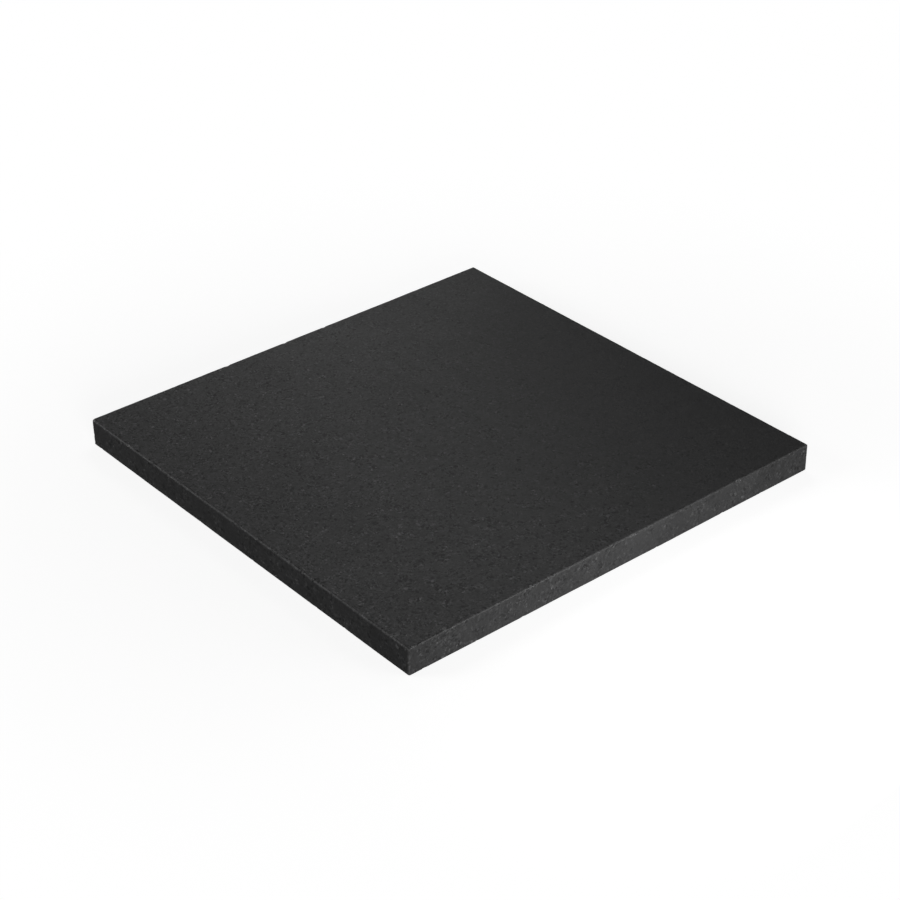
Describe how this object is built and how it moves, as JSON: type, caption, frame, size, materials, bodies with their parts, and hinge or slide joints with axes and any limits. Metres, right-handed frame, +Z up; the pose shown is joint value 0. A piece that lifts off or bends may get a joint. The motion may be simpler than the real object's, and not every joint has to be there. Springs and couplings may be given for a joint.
{
  "type": "granite slab",
  "caption": "Square slab of fine-grained black granite with a flat honed face and eased edges: a hard, heavy backing for tooling, stamping and punching leather.",
  "frame": {"origin": "middle of the underside, on the surface that the slab rests on", "axes": "X and Y run along the slab's two equal sides; +Z points up, out of the working face"},
  "size_m": [0.305, 0.305, 0.018],
  "materials": {
    "black_granite": "satin"
  },
  "bodies": {
    "root": {"slab": "black_granite"}
  },
  "joints": []
}
